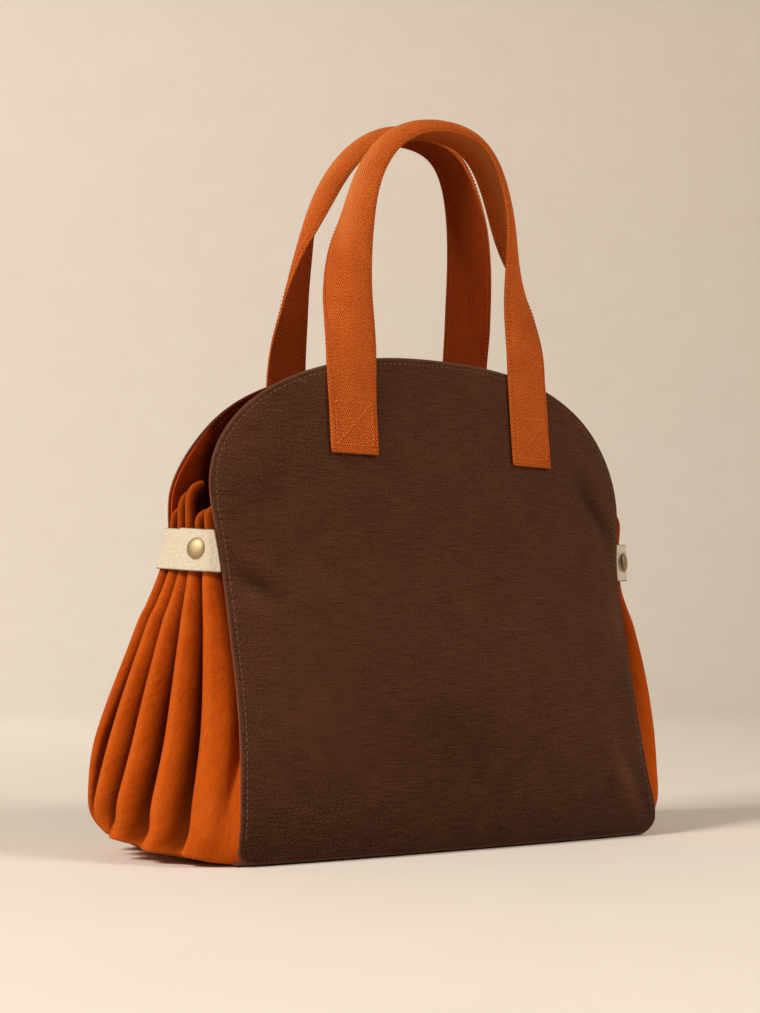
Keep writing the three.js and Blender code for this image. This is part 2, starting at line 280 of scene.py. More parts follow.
def cloth_wall(name, grid, weave, thickness, edge_steps=6, groove=0.0, marks=None):
    """Closed wall about a grid of points, with a rounded edge that may be grooved between two plies."""
    rows, across = grid.shape[:2]
    normals = grid_normals(grid)
    number = np.arange(rows * across).reshape(rows, across)
    border = np.concatenate([number[0, :-1], number[:-1, -1], number[-1, :0:-1], number[:0:-1, 0]])
    flat_points = grid.reshape(-1, 3)
    flat_normals = normals.reshape(-1, 3)
    flat_weave = weave.reshape(-1, 2)
    edge = flat_points[border]
    edge_normal = flat_normals[border]
    run = np.roll(edge, -1, axis=0) - np.roll(edge, 1, axis=0)
    outward = unit(np.cross(run, edge_normal))
    weave_run = unit(np.roll(flat_weave[border], -1, axis=0) - np.roll(flat_weave[border], 1, axis=0))
    weave_out = np.stack([weave_run[:, 1], -weave_run[:, 0]], -1)
    half = np.broadcast_to(np.asarray(thickness) / 2, (rows, across)).reshape(-1, 1)
    count = rows * across
    points = [flat_points + half * flat_normals, flat_points - half * flat_normals]
    weaves = [flat_weave, flat_weave]
    turned = [np.zeros(count), np.ones(count)]
    for step in range(1, edge_steps):
        angle = math.pi * step / edge_steps
        size = half[border] * (1 - groove * math.exp(-((angle - math.pi / 2) / GROOVE_SPREAD) ** 2))
        points.append(edge + size * (math.cos(angle) * edge_normal + math.sin(angle) * outward))
        weaves.append(flat_weave[border] + half[border] * angle * weave_out)
        turned.append(np.full(len(border), step / edge_steps))
    a, b = number[:-1, :-1].ravel(), number[:-1, 1:].ravel()
    c, d = number[1:, 1:].ravel(), number[1:, :-1].ravel()
    faces = [np.stack([a, b, c, d], -1), np.stack([a, d, c, b], -1) + count]
    loops = [border]
    for step in range(edge_steps - 1):
        loops.append(2 * count + step * len(border) + np.arange(len(border)))
    loops.append(border + count)
    for near, far in zip(loops[:-1], loops[1:]):
        faces.append(np.stack([near, far, np.roll(far, -1), np.roll(near, -1)], -1))
    kept = {"turned": np.concatenate(turned)}
    for mark, values in (marks or {}).items():
        values = np.asarray(values, float).ravel()
        kept[mark] = np.concatenate([values, values] + [values[border]] * (edge_steps - 1))
    faces = np.concatenate(faces).tolist()
    return add_piece(name, np.concatenate(points), faces, np.concatenate(weaves), kept)


GROOVE_SPREAD = 0.3
PANEL_THICKNESS = 0.003
PANEL_TOP = {"front": 0.350, "back": 0.352}
PANEL_FOOT = 0.0016
SHOULDER_Z = 0.245
DOME_POWER = {"front": 2.3, "back": 1.85}
BOW_POWER = 3
CORNER_RADIUS = 0.012
PRESSED = 0.62
PRESSED_WIDTH = 0.007
RIGHT_SPREAD = 0.0046
RIGHT_SPREAD_Z = 0.105
RIGHT_SPREAD_REACH = 0.10
FACING = {"front": -1, "back": 1}
PANEL_SIDES = [
    # height, half the width, front wall's depth at its edges, its bow, back wall's depth, its bow
    (0.000, 0.1830, 0.0750, 0.006, 0.0750, 0.006),
    (0.014, 0.1820, 0.0795, 0.007, 0.0805, 0.007),
    (0.050, 0.1775, 0.0745, 0.010, 0.0760, 0.010),
    (0.095, 0.1745, 0.0665, 0.014, 0.0650, 0.014),
    (0.150, 0.1750, 0.0550, 0.018, 0.0420, 0.019),
    (0.205, 0.1775, 0.0445, 0.020, 0.0275, 0.020),
    (0.245, 0.1830, 0.0405, 0.021, 0.0185, 0.021),
    (0.300, 0.1830, 0.0350, 0.021, 0.0025, 0.035),
    (0.352, 0.1830, 0.0290, 0.023, 0.0110, 0.024),
]
heights, halves, fronts, front_bows, backs, back_bows = zip(*PANEL_SIDES)
half_width = curve_through(heights, halves)
edge_depth = {"front": curve_through(heights, fronts), "back": curve_through(heights, backs)}
edge_bow = {"front": curve_through(heights, front_bows), "back": curve_through(heights, back_bows)}


def panel_wall(side, x, z, out=0.0):
    """Points on the middle of a panel's wall, moved out along its normals, and those normals."""

    def away(px, pz):
        return edge_depth[side](pz) + edge_bow[side](pz) * (1 - np.abs(px / half_width(pz)) ** BOW_POWER)

    step = 0.001
    slope_x = (away(x + step, z) - away(x - step, z)) / (2 * step)
    slope_z = (away(x, z + step) - away(x, z - step)) / (2 * step)
    normals = unit(np.stack([-slope_x, np.full_like(slope_x, FACING[side]), -slope_z], -1))
    points = np.stack([x, FACING[side] * away(x, z), z], -1)
    return points + np.asarray(out)[..., None] * normals, normals


def panel_plan(side, columns, rows, inset=0.0):
    """Flat plan of a panel as x and z: upright columns from the rounded foot to the domed rim."""
    turn = (np.linspace(0, 1, columns + 1) - 0.5) * math.pi
    share = np.sign(turn) * np.abs(np.sin(turn)) ** (2 / DOME_POWER[side])
    dome = np.abs(np.cos(turn)) ** (2 / DOME_POWER[side])
    rim = SHOULDER_Z + (PANEL_TOP[side] - inset - SHOULDER_Z) * dome
    into_corner = np.maximum(0, half_width(0.0) * (np.abs(share) - 1) + CORNER_RADIUS)
    corner = CORNER_RADIUS - np.sqrt(CORNER_RADIUS ** 2 - into_corner ** 2)
    foot = PANEL_FOOT + inset + corner
    climb = np.linspace(0, 1, rows + 1)[:, None]
    z = foot + (rim - foot) * climb
    swollen = np.exp(-((z - RIGHT_SPREAD_Z) / RIGHT_SPREAD_REACH) ** 2)
    spread = RIGHT_SPREAD * swollen * np.clip(share, 0, 1)
    return share * (half_width(z) - inset + spread), z


def nearest_edge(x, z):
    """Distance of each plan point from the plan's outline."""
    border = np.concatenate([
        np.stack([x[0], z[0]], -1), np.stack([x[:, -1], z[:, -1]], -1),
        np.stack([x[-1], z[-1]], -1), np.stack([x[:, 0], z[:, 0]], -1),
    ])
    flat = np.stack([x.ravel(), z.ravel()], -1)
    gaps = [np.linalg.norm(border - point, axis=1).min() for point in flat]
    return np.array(gaps).reshape(x.shape)


def panel_skin(gap):
    """Half of a panel's thickness, which the topstitching presses down towards the edge."""
    return PANEL_THICKNESS / 2 * (PRESSED + (1 - PRESSED) * ease(gap, 0.0, PRESSED_WIDTH))


DENTS = [
    # one end, the other end, width, movement
    (-0.168, 0.193, -0.140, 0.177, 0.007, -0.0030),
    (-0.166, 0.178, -0.146, 0.165, 0.006, 0.0012),
    (-0.165, 0.238, -0.120, 0.262, 0.013, -0.0012),
    (0.132, 0.272, 0.170, 0.226, 0.008, -0.0030),
    (0.144, 0.068, 0.164, 0.016, 0.007, 0.0024),
    (0.166, 0.188, 0.166, 0.140, 0.006, 0.0018),
    (-0.060, 0.090, 0.050, 0.070, 0.026, -0.0014),
]
DENT_EASE = 0.010


def panel_dents(x, z):
    """Soft creases left by use, as a small movement of the wall."""
    moved = np.zeros_like(x)
    for x0, z0, x1, z1, width, depth in DENTS:
        length_squared = (x1 - x0) ** 2 + (z1 - z0) ** 2
        along = (x - x0) * (x1 - x0) + (z - z0) * (z1 - z0)
        t = np.clip(along / length_squared, 0, 1)
        gap = np.hypot(x - x0 - t * (x1 - x0), z - z0 - t * (z1 - z0))
        moved = moved + depth * np.exp(-(gap / width) ** 2) * (0.35 + 0.65 * np.sin(math.pi * t))
    return moved


CANVAS_BROWN = tint(100, 61, 39)
CANVAS_SHADE = tint(44, 22, 11)
CANVAS_EDGE_WORN_AND_LIT = tint(126, 84, 68)
BOUND_RUST = tint(142, 62, 28)
TWILL_PITCH = 0.0017
STITCH_INSET = 0.0036
STITCH_DIP = 0.0003
PANEL_COLUMNS = 96
PANEL_ROWS = 84

canvas, canvas_shader, flat_cloth, mark = cloth_finish(
    "canvas", Roughness=0.95, Specular_IOR_Level=0.08, Sheen_Weight=0.04)
place = flat_cloth.node("ShaderNodeTexCoord", {}, {}, "Object")
cloth_x = flat_cloth.part("X")
grains = flat_cloth.noise(800.0, 1.0)
slubs = flat_cloth.noise(1100.0, 1.5, (0.05, 1.0, 1.0))
twill = (cloth_x * 0.8 + flat_cloth.part("Y") + grains * 0.0005).wave(TWILL_PITCH)
mottle = flat_cloth.noise(34.0, 3.0)
# Painted shade: the canvas is coloured darker towards the bottom, where the panel rolls under.
foot_shade = 1 - place.part("Z").rise(0.0, 0.09)
# Painted shade and light: the canvas is coloured darker where a dent presses the wall in and lighter
# where it bulges out.
crease_shade = mark("dent") * 130.0
cloth_tone = slubs * 0.9 + grains * 1.5 + mottle * 0.3 + twill * 0.26 + crease_shade - foot_shade * 0.24 - 0.92
# Partly wear and partly painted highlight: the rounded edges of the panels are coloured a paler brown.
edge_wear_and_highlight = 1 - mark("edge").rise(-0.0005, 0.0018)
canvas_colour = cloth_tone.between(CANVAS_SHADE, CANVAS_BROWN)
canvas_colour = (edge_wear_and_highlight * 0.4).between(canvas_colour, CANVAS_EDGE_WORN_AND_LIT)
bound = (mark("turned") - place.part("Z").rise(0.255, 0.285) * 0.6).rise(0.30, 0.42)
bound = bound * place.part("Z").rise(0.006, 0.016)
canvas_colour = bound.between(canvas_colour, BOUND_RUST)
seam_dip = ((mark("edge") - STITCH_INSET) / 0.0014) ** 2.0
seam_dip = seam_dip.math("EXPONENT", seam_dip * -1.0) * STITCH_DIP
relief = twill * 0.00008 + slubs * 0.0002 + grains * 0.0003 - seam_dip
dress(canvas_shader, Base_Color=canvas_colour, Normal=relief.bump())

for side in ("front", "back"):
    x, z = panel_plan(side, PANEL_COLUMNS, PANEL_ROWS)
    edge_gap = nearest_edge(x, z)
    soft = panel_dents(x, z) * ease(edge_gap, 0.0, DENT_EASE)
    skin = 2 * panel_skin(edge_gap)
    grid, _ = panel_wall(side, x, z, soft)
    weave = np.stack([x, z], -1)
    panel_marks = {"edge": edge_gap, "dent": soft}
    if side == "back":
        grid, weave, skin = grid[:, ::-1], weave[:, ::-1], skin[:, ::-1]
        weave = weave * np.array([-1, 1])
        panel_marks = {name: values[:, ::-1] for name, values in panel_marks.items()}
    panel = cloth_wall(f"{side}_canvas", grid, weave, skin, 10, 0.25, panel_marks)
    panel.data.materials.append(canvas)
    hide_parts(f"{side}_panel")


# Topstitching: thread sewn a few millimetres in from the panels' edges to hold the turned edges down,
# taupe on the canvas and rust on the lining, so that a row of short stitches shows on each face.
def thread_grains(points, normals, pitch, length, thickness):
    """Stitches along a line on a surface: short bowed grains whose ends sink into the cloth."""
    run = np.concatenate([[0], np.cumsum(np.linalg.norm(np.diff(points, axis=0), axis=1))])
    count = max(1, int(run[-1] / pitch))
    middle = (np.arange(count) + 0.5) * run[-1] / count

    def sampled(values, place):
        return np.stack([np.interp(place, run, values[:, axis]) for axis in range(3)], -1)

    up = unit(sampled(normals, middle))
    along = unit(sampled(points, middle + length / 2) - sampled(points, middle - length / 2))
    side = np.cross(up, along)
    station = np.linspace(-1, 1, GRAIN_STATIONS)
    width = thickness / 2 * np.sqrt(1 - GRAIN_TAPER * station ** 2)
    height = thickness * (GRAIN_CROWN - GRAIN_SINK * station ** 2)
    turn = np.arange(GRAIN_SIDES) * 2 * math.pi / GRAIN_SIDES
    ahead = np.repeat(station * length / 2, GRAIN_SIDES)
    beside = np.outer(width, np.cos(turn)).ravel()
    above = (height[:, None] + np.outer(width, np.sin(turn))).ravel()
    grains = sampled(points, middle)[:, None, :] + ahead[None, :, None] * along[:, None, :]
    grains = grains + beside[None, :, None] * side[:, None, :] + above[None, :, None] * up[:, None, :]
    one = GRAIN_STATIONS * GRAIN_SIDES
    faces = [list(range(GRAIN_SIDES))[::-1], list(range(one - GRAIN_SIDES, one))]
    for a in range(GRAIN_STATIONS - 1):
        for b in range(GRAIN_SIDES):
            c = (b + 1) % GRAIN_SIDES
            low = a * GRAIN_SIDES
            faces.append([low + b, low + c, low + GRAIN_SIDES + c, low + GRAIN_SIDES + b])
    return grains.reshape(-1, 3), [[k * one + n for n in face] for k in range(count) for face in faces]


def add_threads(name, runs):
    """One piece from several runs of stitches."""
    points = []
    faces = []
    for run_points, run_faces in runs:
        start = sum(len(part) for part in points)
        points.append(run_points)
        faces += [[start + n for n in face] for face in run_faces]
    return add_piece(name, np.concatenate(points), faces)


GRAIN_STATIONS = 6
GRAIN_SIDES = 6
GRAIN_TAPER = 0.9
GRAIN_CROWN = 0.42
GRAIN_SINK = 0.75
PANEL_PITCH = 0.0042
PANEL_STITCH = 0.0028
PANEL_THREAD = 0.0007
STITCH_START = 0.016
STITCH_COLUMNS = 160
STITCH_ROWS = 120
SEWN_GAP = 0.0004
LINING_THICKNESS = 0.001
LINING_OFFSET = PANEL_THICKNESS / 2 + SEWN_GAP + LINING_THICKNESS / 2


def thread_finish(name, dark, light):
    """Matt thread whose colour varies a little along it."""
    thread, shader, place = new_finish(name, Roughness=0.8, Specular_IOR_Level=0.2)
    dress(shader, Base_Color=place.noise(300.0).between(dark, light))
    return thread


taupe_thread = thread_finish("taupe_thread", tint(84, 62, 44), tint(122, 97, 74))
lining_thread = thread_finish("lining_thread", tint(110, 36, 8), tint(150, 60, 18))

for side in ("front", "back"):
    x, z = panel_plan(side, STITCH_COLUMNS, STITCH_ROWS, STITCH_INSET)
    line_x = np.concatenate([x[:-1, 0], x[-1], x[-2::-1, -1]])
    line_z = np.concatenate([z[:-1, 0], z[-1], z[-2::-1, -1]])
    kept = line_z > STITCH_START
    line_x = line_x[kept]
    line_z = line_z[kept]
    for row_name, out, thread, slot in (
        ("topstitch", panel_skin(STITCH_INSET), taupe_thread, "canvas"),
        ("inner_stitch", -LINING_OFFSET - LINING_THICKNESS / 2, lining_thread, "lining"),
    ):
        points, normals = panel_wall(side, line_x, line_z, np.full_like(line_x, out))
        run = thread_grains(points, normals * np.sign(out), PANEL_PITCH, PANEL_STITCH, PANEL_THREAD)
        stitches = add_threads(f"{side}_{row_name}", [run])
        stitches.data.materials.append(thread)


# Base: a stiffened floor of the same canvas, cut to the curve of the panels' feet and sewn in between
# them. It lies flat on whatever the bag stands on.
BASE_THICKNESS = 0.003
BASE_HALF = 0.1809
BASE_COLUMNS = 60
BASE_ROWS = 26

base_x = np.linspace(-BASE_HALF, BASE_HALF, BASE_COLUMNS + 1)
base_edge = edge_depth["front"](0.0) - PANEL_THICKNESS / 2 - SEWN_GAP
base_edge = base_edge + edge_bow["front"](0.0) * (1 - np.abs(base_x / half_width(0.0)) ** BOW_POWER)
base_edge = base_edge - BASE_THICKNESS / 2
climb = np.linspace(-1, 1, BASE_ROWS + 1)[:, None]
y = base_edge * climb
x = np.clip(base_x, -BASE_HALF + BASE_THICKNESS / 2, BASE_HALF - BASE_THICKNESS / 2) + 0 * y
grid = np.stack([x, y, np.full_like(y, BASE_THICKNESS / 2)], -1)
edge_gap = np.minimum(base_edge - np.abs(y), BASE_HALF - np.abs(x))
weave = np.stack([x, y], -1)
base = cloth_wall("base_canvas", grid, weave, BASE_THICKNESS, 6, 0.0, {"edge": edge_gap})
base.data.materials.append(canvas)
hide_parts("base_panel")


# Linings: plain rust cotton on the inside of each panel, let in just short of the edge and caught by
# the topstitching. Painted shade darkens them all over, and painted light brightens the left ends.
LINING_INSET = 0.0002
LINING_SHADED_RUST = tint(92, 26, 5)
LINING_SHADE = tint(62, 16, 2)
LINING_LIT = tint(196, 74, 14)

lining_finish, lining_shader, flat_cloth, _ = cloth_finish(
    "lining_cotton", Roughness=0.95, Specular_IOR_Level=0.05)
mottle = flat_cloth.noise(60.0, 3.0)
# Painted light and shade: the lining is dark all over as painted shade, and lighter at its left ends as
# painted light.
lit_ends = (flat_cloth.part("X") * -1.0 + mottle * 0.02).rise(0.160, 0.186)
lining_colour = lit_ends.between(mottle.between(LINING_SHADE, LINING_SHADED_RUST), LINING_LIT)
dress(lining_shader, Base_Color=lining_colour, Normal=(mottle * 0.0006).bump())

for side in ("front", "back"):
    x, z = panel_plan(side, PANEL_COLUMNS, PANEL_ROWS, LINING_INSET)
    soft = panel_dents(x, z) * ease(nearest_edge(x, z), 0.0, DENT_EASE)
    grid, _ = panel_wall(side, x, z, soft - LINING_OFFSET)
    weave = np.stack([x, z], -1)
    if side == "back":
        grid, weave = grid[:, ::-1], weave[:, ::-1]
    lining = cloth_wall(f"{side}_inner_lining", grid, weave, LINING_THICKNESS, 4)
    lining.data.materials.append(lining_finish)
    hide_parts(f"{side}_lining")


# Gussets: brushed rust twill, pleated into five deep folds between the panels' side edges, gathered
# into the base seam below and drawn together by the tab above, with the folds' tops left free.
GUSSET_THICKNESS = 0.0014
GUSSET_BEHIND = PANEL_THICKNESS / 2 + SEWN_GAP + GUSSET_THICKNESS
GUSSET_INSET = 0.001
FOLDS = 5
GUSSET_ROWS = [
    # height, how far the left and right folds stand out, depth of the folds, share drawn in by the tab,
    # share of the fold next to the panels that sinks behind them
    (0.0014, 0.0000, 0.0000, 0.000, 0.00, 0.0),
    (0.0016, 0.0260, 0.0150, 0.006, 0.00, 0.0),
    (0.0080, 0.0400, 0.0235, 0.014, 0.00, 0.0),
    (0.0270, 0.0510, 0.0310, 0.024, 0.00, 0.0),
    (0.0620, 0.0500, 0.0335, 0.032, 0.00, 0.2),
    (0.1100, 0.0412, 0.0332, 0.036, 0.00, 0.6),
    (0.1550, 0.0294, 0.0255, 0.036, 0.10, 0.9),
    (0.1720, 0.0222, 0.0195, 0.033, 0.35, 1.0),
    (0.1870, 0.0160, 0.0145, 0.028, 0.65, 1.0),
    (0.2070, 0.0090, 0.0125, 0.018, 1.00, 1.0),
    (0.2240, 0.0045, 0.0128, 0.016, 1.00, 1.0),
    (0.2380, 0.0040, 0.0135, 0.016, 1.00, 1.0),
]
FOLD_SHAPES = [
    # place from the front seam to the back seam, share of the reach at the foot, above it and under the
    # tab, hook at the hem, lift off the floor, rise of the top
    (0.0, 0.00, 0.00, 0.00, 0.000, 0.0000, 0.001),
    (0.1, 0.46, 0.39, 0.75, 0.002, 0.0040, 0.001),
    (0.3, 0.81, 0.69, 1.00, 0.005, 0.0060, -0.002),
    (0.5, 1.01, 0.90, 0.95, 0.004, 0.0115, 0.018),
    (0.7, 1.02, 1.00, 0.96, 0.001, 0.0130, 0.013),
    (0.9, 0.75, 0.98, 1.00, 0.000, 0.0080, 0.003),
    (1.0, 0.00, 0.00, 0.00, 0.000, 0.0010, 0.000),
]

row_number = np.arange(len(GUSSET_ROWS))
row_heights, left_reach, right_reach, row_depths, row_drawn, row_sunk = zip(*GUSSET_ROWS)
fold_places, *fold_columns = zip(*FOLD_SHAPES)
fold_curves = [curve_through(fold_places, column) for column in fold_columns]
foot_reach, fold_reach, drawn_reach, hem_hook, hem_lift, fold_rise = fold_curves
gusset_height = curve_through(row_number, row_heights)
gusset_reach = {
    "left": curve_through(row_number, left_reach),
    "right": curve_through(row_number, right_reach),
}
gusset_depth = curve_through(row_number, row_depths)
gusset_drawn = curve_through(row_number, row_drawn)
gusset_sunk = curve_through(row_number, row_sunk)

OUTWARD = {"left": -1, "right": 1}
FOLD_STEPS = 42
GUSSET_STEPS = 96
TURN_STEPS = 200
WIDEST_ROW = 3.0
FOOT_TOP = 0.085
HEM_Z = 0.010
HEM_SPREAD = 0.013
GATHER_DEPTH = 0.0024
GATHERS_PER_FOLD = 1.7
FIN_ROWS = 0.8
FIN_ROUND = 0.94
FIN_PINCH = 0.35
FIN_GAP = 0.013
FIN_RAISE = {"left": 0.0, "right": 0.009}
SEAM_SINK = 0.018
# Painted shade in the folds' valleys: how far below a crest it reaches, at each height.
SHADE_HEIGHTS = (0.0, 0.05, 0.19, 0.225)
SHADE_DEPTHS = (0.009, 0.021, 0.006, 0.0035)
RIDGE_DEPTH = 0.0009

fold_bends = np.radians(np.arange(4, 118, 2))[:, None]
fold_turns = np.sin(2 * math.pi * np.linspace(0, 1, TURN_STEPS + 1))
fold_heights = np.sin(fold_bends * fold_turns)[:, :TURN_STEPS // 2 + 1].mean(axis=1) / 2
fold_ratios = fold_heights / np.cos(fold_bends * fold_turns).mean(axis=1)


def fold_wave(slimness):
    """One fold as a bent strip for each row: its way along and out, both from 0 to 1."""
    bend = np.interp(slimness, fold_ratios, fold_bends[:, 0])
    angle = bend * np.sin(2 * math.pi * (np.arange(FOLD_STEPS) + 0.5) / FOLD_STEPS)
    along = np.cumsum(np.cos(angle), axis=1)
    out = np.cumsum(np.sin(angle), axis=1)
    start = np.zeros_like(bend)
    along = np.concatenate([start, along[:, :-1]], axis=1) / along[:, -1:]
    furthest = np.maximum(out.max(axis=1, keepdims=True), 1e-9)
    out = np.concatenate([start, out[:, :-1]], axis=1) / furthest
    return along, out


def gusset_grid(side):
    """Middle of a gusset's cloth, from the front seam to the back seam and from the base up."""
    last = len(GUSSET_ROWS) - 1
    n = np.linspace(0, last, GUSSET_STEPS + 1)[:, None]
    u = np.linspace(0, 1, FOLDS * FOLD_STEPS + 1)[None, :]
    along = u if side == "left" else 1 - u
    fin = np.clip((n - last + FIN_ROWS) / FIN_ROWS, 0, 1)
    row_z = gusset_height(n)
    z = row_z + (fold_rise(along) + FIN_RAISE[side]) * ease(n, last - 2, last)
    width = edge_depth["front"](row_z) + edge_depth["back"](row_z) - 2 * GUSSET_BEHIND
    depth = np.maximum(gusset_depth(n), 0)
    step, crest = fold_wave(depth / (width / FOLDS))
    ends = np.ones_like(n)
    step = 0.5 + (step - 0.5) * (1 - FIN_PINCH * crest * ease(n, last - 1.8, last - 0.8))
    share = np.concatenate([(k + step) / FOLDS for k in range(FOLDS)] + [ends], axis=1)
    crest = np.concatenate([crest] * FOLDS + [ends * 0], axis=1)
    from_seam = np.minimum(u, 1 - u)
    sunk = gusset_sunk(n)
    seam = ease(from_seam, 0.05, 0.2) * (1 - sunk) + ease(from_seam, 0, 0.04) * sunk
    drawn = gusset_drawn(n)
    foot = 1 - ease(z, 0.0, FOOT_TOP)
    fold_share = foot_reach(along) * foot + fold_reach(along) * (1 - foot)
    upright = (1 - ease(along, 0.5, 0.85)) * (1 - ease(z, 0.010, 0.045)) * ease(n, 0, 1.6)
    row_reach = gusset_reach[side](n)
    row_reach = row_reach + (gusset_reach[side](WIDEST_ROW) - row_reach) * upright
    stand = row_reach * (fold_share * (1 - drawn) + drawn_reach(along) * drawn)
    fin_cut = (1 - np.sqrt(1 - FIN_ROUND * fin ** 2)) * crest
    hem = np.exp(-((z - HEM_Z) / HEM_SPREAD) ** 2)
    gather_turn = 2 * math.pi * FOLDS * GATHERS_PER_FOLD * along + 3.0 * np.sin(9 * along)
    gathers = GATHER_DEPTH * hem * np.sin(gather_turn)
    reach = stand - depth * (1 - crest + fin_cut) * seam + gathers * seam
    seam_sink = SEAM_SINK * sunk * (1 - ease(along, 0.03, 0.10))
    behind = 1 - (1 - (GUSSET_INSET + seam_sink) / half_width(z)) ** BOW_POWER
    front = edge_depth["front"](z) + edge_bow["front"](z) * behind - GUSSET_BEHIND
    back = edge_depth["back"](z) + edge_bow["back"](z) * behind - GUSSET_BEHIND
    y = -front + (front + back) * share
    y = y - OUTWARD[side] * hem_hook(along) * (1 - ease(z, 0.0, 0.022))
    z = z + hem_lift(along) * np.exp(-(z / 0.03) ** 2) * ease(n, 0, 1)
    z = z - FIN_GAP * (1 - crest) ** 1.5 * ease(n, last - 1.6, last)
    corner = CORNER_RADIUS - np.clip(z - PANEL_FOOT, 0, CORNER_RADIUS)
    corner = CORNER_RADIUS - np.sqrt(CORNER_RADIUS ** 2 - 0.9 * corner ** 2)
    corner = corner * (1 - ease(from_seam, 0.0, 0.08))
    x = OUTWARD[side] * (half_width(z) - GUSSET_INSET - seam_sink - corner + reach)
    # Painted shade: this mark is 1 on the crests and falls to 0 deep in the valleys, and the finish
    # darkens the cloth by it.
    dip = depth * (1 - crest) * seam + seam_sink
    gusset_marks = {
        "open": np.exp(-(dip / np.interp(z, SHADE_HEIGHTS, SHADE_DEPTHS)) ** 2),
        "ridge": np.exp(-(dip / RIDGE_DEPTH) ** 2) * seam * ease(depth, 0.004, 0.012),
    }
    return np.stack(np.broadcast_arrays(x, y, z), -1), gusset_marks


GUSSET_RUST = tint(189, 84, 17)
GUSSET_DEEP = tint(146, 52, 5)
GUSSET_VALLEY_SHADE = tint(52, 12, 1)
GUSSET_CREST_HIGHLIGHT = tint(210, 102, 30)
GUSSET_SHEEN = tint(230, 120, 30)

gusset_finish, gusset_shader, flat_cloth, mark = cloth_finish(
    "brushed_twill", Roughness=0.95, Specular_IOR_Level=0.05,
    Sheen_Weight=0.06, Sheen_Tint=GUSSET_SHEEN)
nap = flat_cloth.noise(60.0, 4.0)
brushed = flat_cloth.noise(420.0, 2.0, (1.0, 0.35, 1.0))
fine = flat_cloth.noise(800.0, 2.0)
diagonal = (flat_cloth.part("X") + flat_cloth.part("Y")).wave(TWILL_PITCH)
# Painted light: the folds are coloured lighter towards the bottom, where light bounces up from the
# floor.
low = 1 - flat_cloth.part("Y").rise(0.04, 0.20)
gusset_tone = nap * 0.75 + brushed * 0.8 + fine * 0.8 + diagonal * 0.18 + low * 0.4 - 0.88
gusset_colour = gusset_tone.between(GUSSET_DEEP, GUSSET_RUST)
# Painted highlight: a thin paler line along each fold's crest.
gusset_colour = (mark("ridge") * (fine * 0.9 - 0.1)).between(gusset_colour, GUSSET_CREST_HIGHLIGHT)
# Painted shade: the cloth goes towards the dark valley colour deep in the folds, a little further on the
# fins above the tab, and half way all over the inside face.
inside = mark("turned").rise(0.4, 0.9)
fin_shade = flat_cloth.part("Y").rise(0.22, 0.25)
unshaded_share = mark("open") * (1 - fin_shade * 0.3) * (1 - inside) + inside * 0.5
gusset_colour = unshaded_share.between(GUSSET_VALLEY_SHADE, gusset_colour)
gusset_relief = diagonal * 0.00005 + brushed * 0.0003 + fine * 0.0002
dress(gusset_shader, Base_Color=gusset_colour, Normal=gusset_relief.bump())

for side in ("left", "right"):
    grid, gusset_marks = gusset_grid(side)
    steps_u = np.linalg.norm(np.diff(grid, axis=1), axis=-1)
    steps_v = np.linalg.norm(np.diff(grid, axis=0), axis=-1)
    cut_x = np.concatenate([np.zeros((grid.shape[0], 1)), np.cumsum(steps_u, axis=1)], axis=1)
    cut_y = np.concatenate([np.zeros((1, grid.shape[1])), np.cumsum(steps_v, axis=0)], axis=0)
    weave = np.stack([cut_x, cut_y], -1)
    if side == "left":
        grid, weave = grid[:, ::-1], weave[:, ::-1]
        gusset_marks = {name: values[:, ::-1] for name, values in gusset_marks.items()}
    gusset = cloth_wall(f"{side}_pleats", grid, weave, GUSSET_THICKNESS, 4, 0.0, gusset_marks)
    gusset.data.materials.append(gusset_finish)
    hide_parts(f"{side}_gusset")


# Snap tabs: two lengths of cream herringbone tape on each side, sewn to the panels' edges. The front
# length laps over the back one round the folds, and the snap holds them.
TAB_THICKNESS = 0.0018
TAB_LOW = 0.1925
TAB_HIGH = 0.220
TAB_SWELL = {"left": (0.0125, 0.0036), "right": (0.0208, 0.0196)}
TAB_SHAPE = [
    # place from the front seam to the back seam, share of the swell on the left and on the right
    (0.00, 0.00, 0.00),
    (0.04, 0.34, 0.28),
    (0.10, 0.57, 0.62),
    (0.20, 0.85, 0.91),
    (0.35, 0.97, 1.00),
    (0.60, 1.00, 1.00),
    (0.80, 1.00, 0.84),
    (0.90, 0.90, 0.60),
    (0.96, 0.54, 0.34),
    (1.00, 0.00, 0.00),
]
tab_places, left_shares, right_shares = zip(*TAB_SHAPE)
tab_shape = {
    "left": curve_through(tab_places, left_shares),
    "right": curve_through(tab_places, right_shares),
}
TAB_RAISE = {"left": 0.0, "right": 0.0018}
TAB_FRONT_END = (0.56, 0.52)
TAB_TILT = 0.0058
TAB_BACK_DROP = 0.0009
TAB_BACK_START = 0.09
TAB_LAP_END = 0.07
TAB_LAP = TAB_THICKNESS + SEWN_GAP
PANEL_EDGE = 0.001
TAB_SEAM = PANEL_EDGE + SEWN_GAP + TAB_THICKNESS / 2
TAB_ROWS = 14
TAB_COLUMNS = 60


def tab_middle(side, u, z):
    """Points on the line of a tab, as if its two lengths were one."""
    swell = np.interp(z, (TAB_LOW, TAB_HIGH), TAB_SWELL[side]) * tab_shape[side](u)
    x = OUTWARD[side] * (half_width(z) + TAB_SEAM + swell)
    front = edge_depth["front"](z)
    y = -front + (front + edge_depth["back"](z)) * u
    return np.stack(np.broadcast_arrays(x, y, z + TAB_TILT * u + TAB_RAISE[side]), -1)


